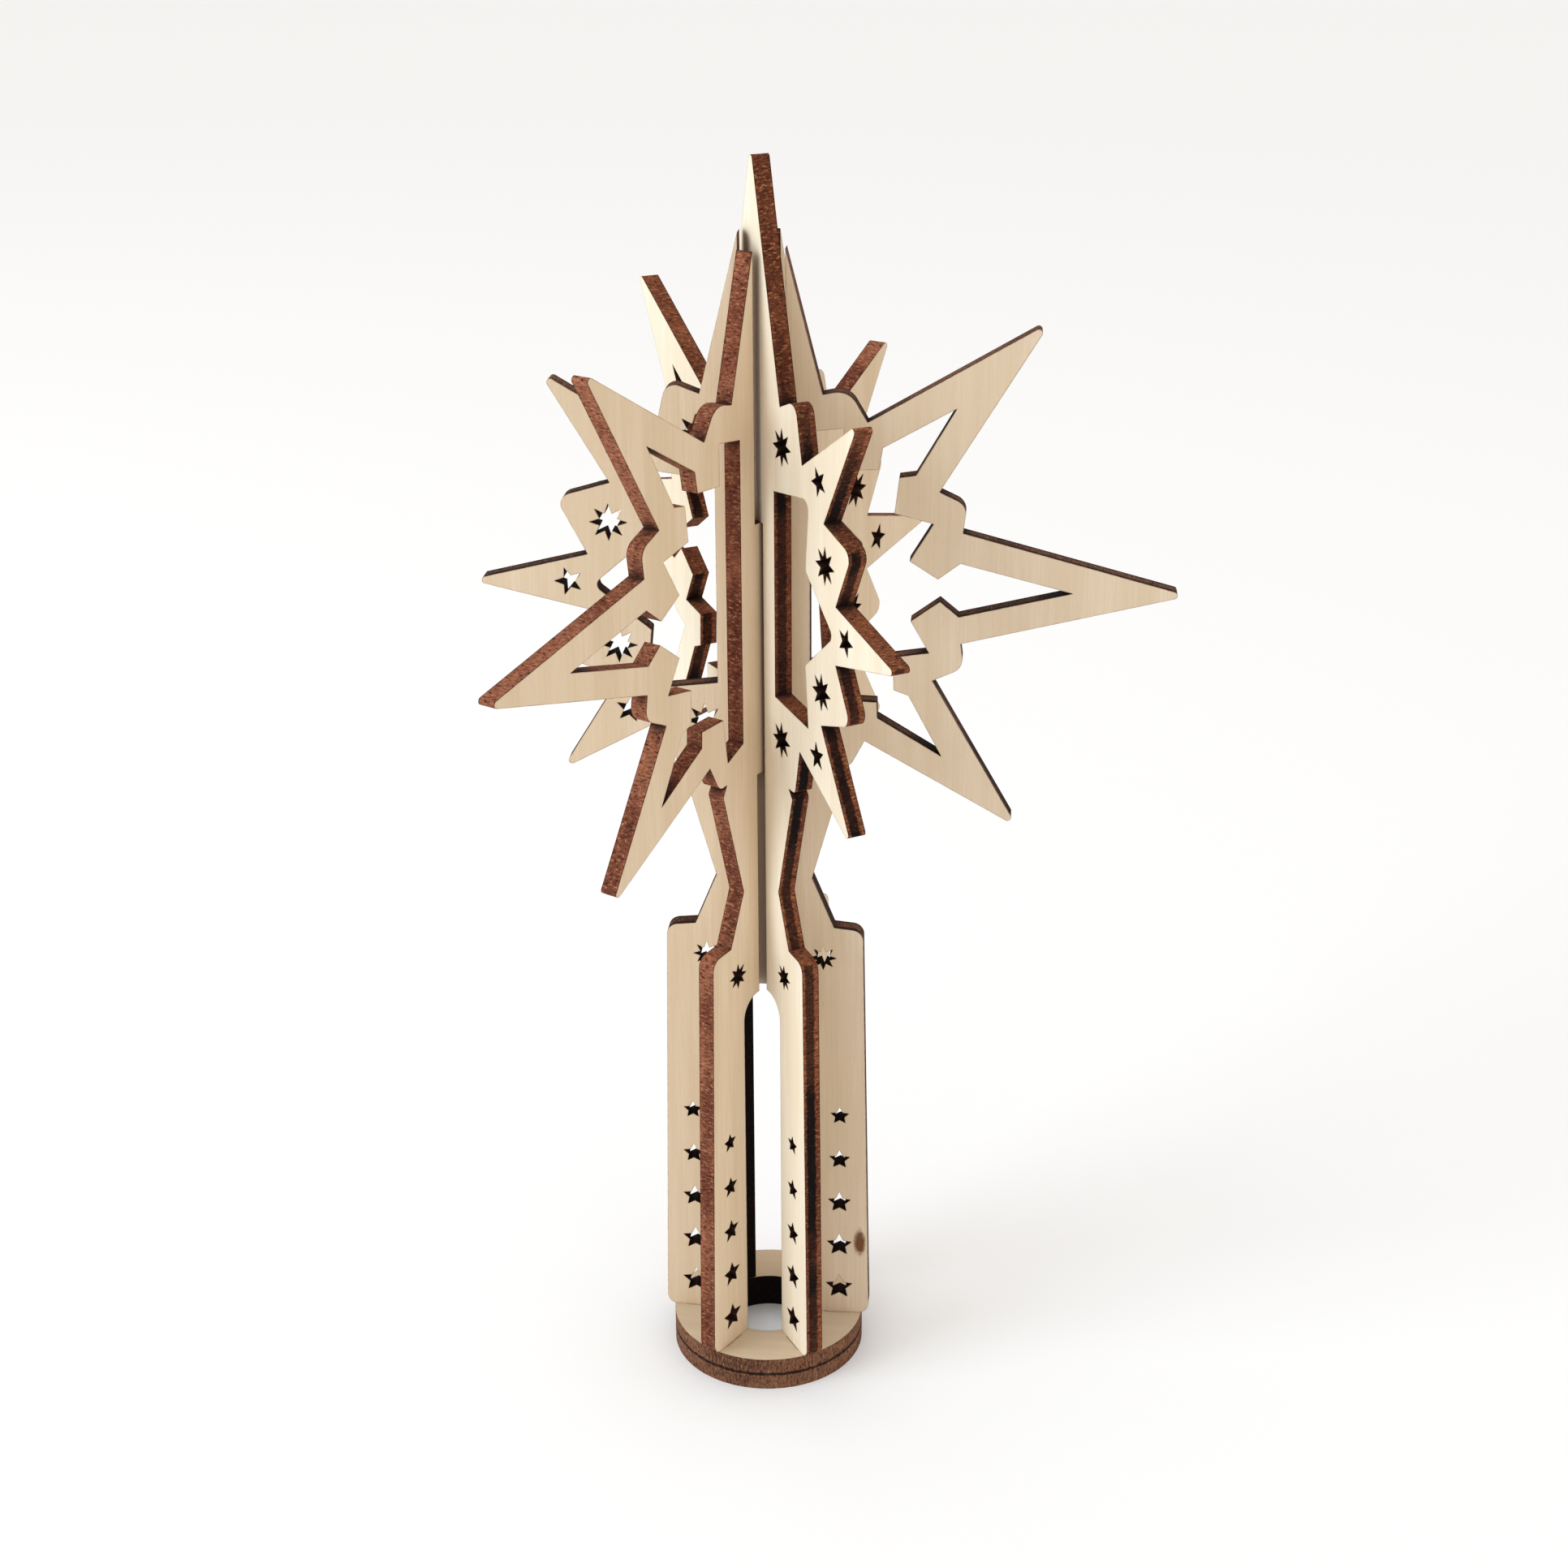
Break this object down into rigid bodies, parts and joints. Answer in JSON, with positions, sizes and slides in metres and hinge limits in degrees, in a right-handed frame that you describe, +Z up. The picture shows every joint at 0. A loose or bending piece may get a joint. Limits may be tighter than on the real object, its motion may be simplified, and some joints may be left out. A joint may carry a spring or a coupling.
{
  "type": "slot-together star topper puzzle",
  "caption": "Slot-together plywood star: flat interlocking plates with pointed rays and starry cut-outs, on a long ringed socket that slips over a treetop.",
  "frame": {"origin": "centre of the socket hole in the underside of the lower ring", "axes": "+Z up along the axis where the plates cross, towards the spire; +X towards the open half of the bottom plate"},
  "size_m": [0.1109, 0.114, 0.2101],
  "materials": {
    "plywood": "raw sanded faces, scorched cut edges"
  },
  "bodies": {
    "base": {"plate_bottom": "plywood", "ring_lower": "plywood", "ring_upper": "plywood"},
    "middle": {"plate_middle": "plywood"},
    "top": {"plate_top": "plywood"}
  },
  "joints": [
    {"name": "middle_lift", "type": "slide", "parent": "base", "child": "middle", "axis": [0, 0, 1], "range_m": [0, 0.2]},
    {"name": "top_lift", "type": "slide", "parent": "middle", "child": "top", "axis": [0, 0, 1], "range_m": [0, 0.2]}
  ]
}
